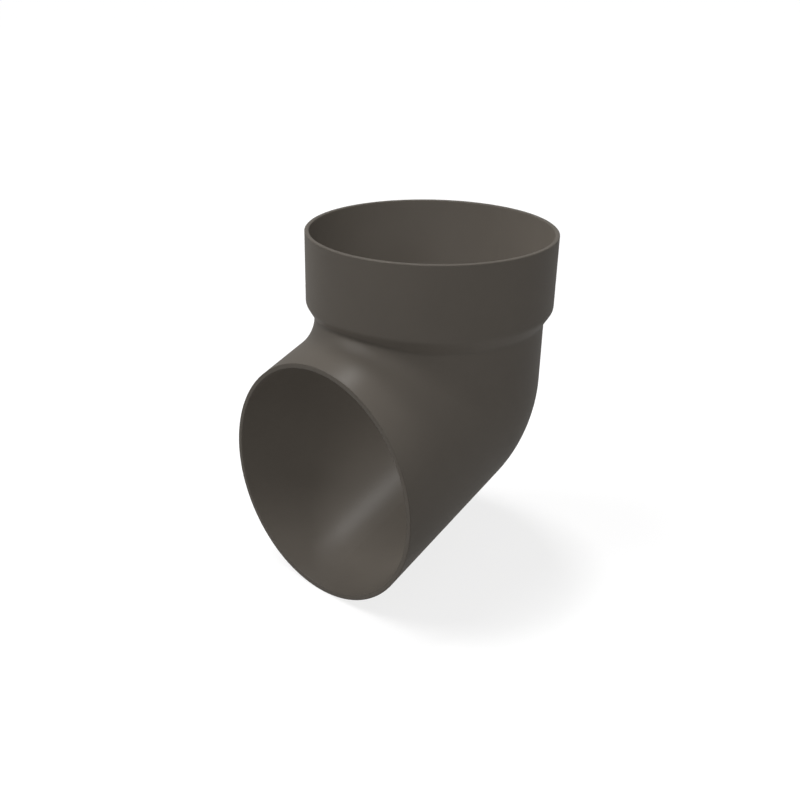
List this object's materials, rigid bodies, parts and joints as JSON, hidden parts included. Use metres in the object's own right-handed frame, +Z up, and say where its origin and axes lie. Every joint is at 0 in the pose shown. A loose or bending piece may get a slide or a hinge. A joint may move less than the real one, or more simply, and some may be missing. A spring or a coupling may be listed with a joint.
{
  "type": "downspout elbow",
  "caption": "Moulded plastic downspout elbow: a round socket on top, a shoulder down to a narrower body, and a sharp bend into a slanting outlet tube cut off upright.",
  "frame": {"origin": "centre of the socket's rim, on the socket's axis", "axes": "+Z up along the socket's axis, out of the socket; the outlet faces -Y; the part is symmetric about the plane x = 0"},
  "size_m": [0.1148, 0.1319, 0.1581],
  "materials": {
    "plastic": "satin, dark grey-brown, coloured through"
  },
  "bodies": {
    "root": {"elbow_body": "plastic"}
  },
  "joints": []
}
